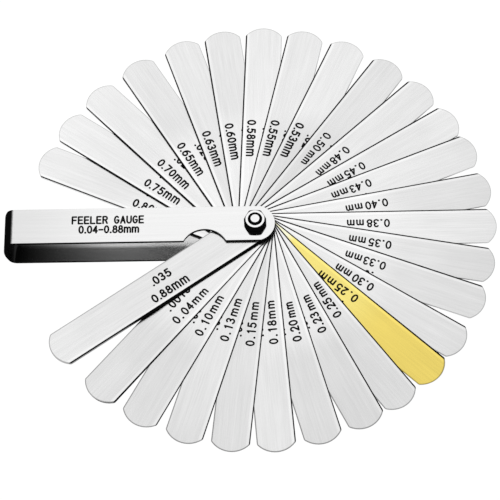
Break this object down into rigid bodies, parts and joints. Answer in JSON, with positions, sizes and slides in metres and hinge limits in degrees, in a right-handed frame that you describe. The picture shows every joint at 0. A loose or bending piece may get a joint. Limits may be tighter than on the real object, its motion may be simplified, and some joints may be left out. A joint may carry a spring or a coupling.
{
  "type": "feeler gauge",
  "caption": "Fan of thin parallel-sided leaves of graded thickness on one pivot screw, in a bent-strip holder with a thumb notch, for measuring small gaps.",
  "frame": {"origin": "on the pivot axis, in the plane of the screw head's outer face, which is the lowest point", "axes": "+Z along the pivot axis from the screw head to the nut; -X along the holder from the pivot to its bent end; the thumb notches open towards -Y"},
  "size_m": [0.1705, 0.1663, 0.0219],
  "materials": {
    "holder_steel": "fine lengthwise brushed grain, bright",
    "spring_steel": "lengthwise ground grain, satin, light oil",
    "brass": "rolled, satin",
    "plated_steel": "bright nickel plate",
    "marking": "black etched marking"
  },
  "bodies": {
    "holder": {"holder": "holder_steel", "pivot_screw": "plated_steel", "pivot_nut": "plated_steel"},
    "leaf_088": {"leaf_088": "spring_steel"},
    "leaf_004": {"leaf_004": "spring_steel"},
    "leaf_005": {"leaf_005": "spring_steel"},
    "leaf_006": {"leaf_006": "spring_steel"},
    "leaf_008": {"leaf_008": "spring_steel"},
    "leaf_010": {"leaf_010": "spring_steel"},
    "leaf_013": {"leaf_013": "spring_steel"},
    "leaf_015": {"leaf_015": "spring_steel"},
    "leaf_018": {"leaf_018": "spring_steel"},
    "leaf_020": {"leaf_020": "spring_steel"},
    "leaf_023": {"leaf_023": "spring_steel"},
    "leaf_025": {"leaf_025": "spring_steel"},
    "leaf_025_brass": {"leaf_025_brass": "brass"},
    "leaf_028": {"leaf_028": "spring_steel"},
    "leaf_030": {"leaf_030": "spring_steel"},
    "leaf_033": {"leaf_033": "spring_steel"},
    "leaf_035": {"leaf_035": "spring_steel"},
    "leaf_038": {"leaf_038": "spring_steel"},
    "leaf_040": {"leaf_040": "spring_steel"},
    "leaf_043": {"leaf_043": "spring_steel"},
    "leaf_045": {"leaf_045": "spring_steel"},
    "leaf_048": {"leaf_048": "spring_steel"},
    "leaf_050": {"leaf_050": "spring_steel"},
    "leaf_053": {"leaf_053": "spring_steel"},
    "leaf_055": {"leaf_055": "spring_steel"},
    "leaf_058": {"leaf_058": "spring_steel"},
    "leaf_060": {"leaf_060": "spring_steel"},
    "leaf_063": {"leaf_063": "spring_steel"},
    "leaf_065": {"leaf_065": "spring_steel"},
    "leaf_070": {"leaf_070": "spring_steel"},
    "leaf_075": {"leaf_075": "spring_steel"},
    "leaf_080": {"leaf_080": "spring_steel"}
  },
  "joints": [
    {"name": "leaf_088_swing", "type": "hinge", "parent": "holder", "child": "leaf_088", "pos_m": [0, 0, 0.0104], "axis": [0, 0, 1], "range_deg": [-34.7, 325.3]},
    {"name": "leaf_004_swing", "type": "hinge", "parent": "holder", "child": "leaf_004", "pos_m": [0, 0, 0.0104], "axis": [0, 0, 1], "range_deg": [-49, 311]},
    {"name": "leaf_005_swing", "type": "hinge", "parent": "holder", "child": "leaf_005", "pos_m": [0, 0, 0.0104], "axis": [0, 0, 1], "range_deg": [-49.1, 310.9]},
    {"name": "leaf_006_swing", "type": "hinge", "parent": "holder", "child": "leaf_006", "pos_m": [0, 0, 0.0104], "axis": [0, 0, 1], "range_deg": [-49.2, 310.8]},
    {"name": "leaf_008_swing", "type": "hinge", "parent": "holder", "child": "leaf_008", "pos_m": [0, 0, 0.0104], "axis": [0, 0, 1], "range_deg": [-49.3, 310.7]},
    {"name": "leaf_010_swing", "type": "hinge", "parent": "holder", "child": "leaf_010", "pos_m": [0, 0, 0.0104], "axis": [0, 0, 1], "range_deg": [-60.9, 299.1]},
    {"name": "leaf_013_swing", "type": "hinge", "parent": "holder", "child": "leaf_013", "pos_m": [0, 0, 0.0104], "axis": [0, 0, 1], "range_deg": [-72.5, 287.5]},
    {"name": "leaf_015_swing", "type": "hinge", "parent": "holder", "child": "leaf_015", "pos_m": [0, 0, 0.0104], "axis": [0, 0, 1], "range_deg": [-83.7, 276.3]},
    {"name": "leaf_018_swing", "type": "hinge", "parent": "holder", "child": "leaf_018", "pos_m": [0, 0, 0.0104], "axis": [0, 0, 1], "range_deg": [-94.6, 265.4]},
    {"name": "leaf_020_swing", "type": "hinge", "parent": "holder", "child": "leaf_020", "pos_m": [0, 0, 0.0104], "axis": [0, 0, 1], "range_deg": [-105.8, 254.2]},
    {"name": "leaf_023_swing", "type": "hinge", "parent": "holder", "child": "leaf_023", "pos_m": [0, 0, 0.0104], "axis": [0, 0, 1], "range_deg": [-116.9, 243.1]},
    {"name": "leaf_025_swing", "type": "hinge", "parent": "holder", "child": "leaf_025", "pos_m": [0, 0, 0.0104], "axis": [0, 0, 1], "range_deg": [-126.8, 233.2]},
    {"name": "leaf_025_brass_swing", "type": "hinge", "parent": "holder", "child": "leaf_025_brass", "pos_m": [0, 0, 0.0104], "axis": [0, 0, 1], "range_deg": [-137.1, 222.9]},
    {"name": "leaf_028_swing", "type": "hinge", "parent": "holder", "child": "leaf_028", "pos_m": [0, 0, 0.0104], "axis": [0, 0, 1], "range_deg": [-137.3, 222.7]},
    {"name": "leaf_030_swing", "type": "hinge", "parent": "holder", "child": "leaf_030", "pos_m": [0, 0, 0.0104], "axis": [0, 0, 1], "range_deg": [-147.1, 212.9]},
    {"name": "leaf_033_swing", "type": "hinge", "parent": "holder", "child": "leaf_033", "pos_m": [0, 0, 0.0104], "axis": [0, 0, 1], "range_deg": [-158.9, 201.1]},
    {"name": "leaf_035_swing", "type": "hinge", "parent": "holder", "child": "leaf_035", "pos_m": [0, 0, 0.0104], "axis": [0, 0, 1], "range_deg": [-169.4, 190.6]},
    {"name": "leaf_038_swing", "type": "hinge", "parent": "holder", "child": "leaf_038", "pos_m": [0, 0, 0.0104], "axis": [0, 0, 1], "range_deg": [-180.2, 179.8]},
    {"name": "leaf_040_swing", "type": "hinge", "parent": "holder", "child": "leaf_040", "pos_m": [0, 0, 0.0104], "axis": [0, 0, 1], "range_deg": [-190.5, 169.5]},
    {"name": "leaf_043_swing", "type": "hinge", "parent": "holder", "child": "leaf_043", "pos_m": [0, 0, 0.0104], "axis": [0, 0, 1], "range_deg": [-201.9, 158.1]},
    {"name": "leaf_045_swing", "type": "hinge", "parent": "holder", "child": "leaf_045", "pos_m": [0, 0, 0.0104], "axis": [0, 0, 1], "range_deg": [-211.7, 148.3]},
    {"name": "leaf_048_swing", "type": "hinge", "parent": "holder", "child": "leaf_048", "pos_m": [0, 0, 0.0104], "axis": [0, 0, 1], "range_deg": [-222.5, 137.5]},
    {"name": "leaf_050_swing", "type": "hinge", "parent": "holder", "child": "leaf_050", "pos_m": [0, 0, 0.0104], "axis": [0, 0, 1], "range_deg": [-233.5, 126.5]},
    {"name": "leaf_053_swing", "type": "hinge", "parent": "holder", "child": "leaf_053", "pos_m": [0, 0, 0.0104], "axis": [0, 0, 1], "range_deg": [-245.4, 114.6]},
    {"name": "leaf_055_swing", "type": "hinge", "parent": "holder", "child": "leaf_055", "pos_m": [0, 0, 0.0104], "axis": [0, 0, 1], "range_deg": [-256.8, 103.2]},
    {"name": "leaf_058_swing", "type": "hinge", "parent": "holder", "child": "leaf_058", "pos_m": [0, 0, 0.0104], "axis": [0, 0, 1], "range_deg": [-267.5, 92.5]},
    {"name": "leaf_060_swing", "type": "hinge", "parent": "holder", "child": "leaf_060", "pos_m": [0, 0, 0.0104], "axis": [0, 0, 1], "range_deg": [-278.3, 81.7]},
    {"name": "leaf_063_swing", "type": "hinge", "parent": "holder", "child": "leaf_063", "pos_m": [0, 0, 0.0104], "axis": [0, 0, 1], "range_deg": [-289.1, 70.9]},
    {"name": "leaf_065_swing", "type": "hinge", "parent": "holder", "child": "leaf_065", "pos_m": [0, 0, 0.0104], "axis": [0, 0, 1], "range_deg": [-301.7, 58.3]},
    {"name": "leaf_070_swing", "type": "hinge", "parent": "holder", "child": "leaf_070", "pos_m": [0, 0, 0.0104], "axis": [0, 0, 1], "range_deg": [-314.1, 45.9]},
    {"name": "leaf_075_swing", "type": "hinge", "parent": "holder", "child": "leaf_075", "pos_m": [0, 0, 0.0104], "axis": [0, 0, 1], "range_deg": [-325.4, 34.6]},
    {"name": "leaf_080_swing", "type": "hinge", "parent": "holder", "child": "leaf_080", "pos_m": [0, 0, 0.0104], "axis": [0, 0, 1], "range_deg": [-336.3, 23.7]}
  ]
}
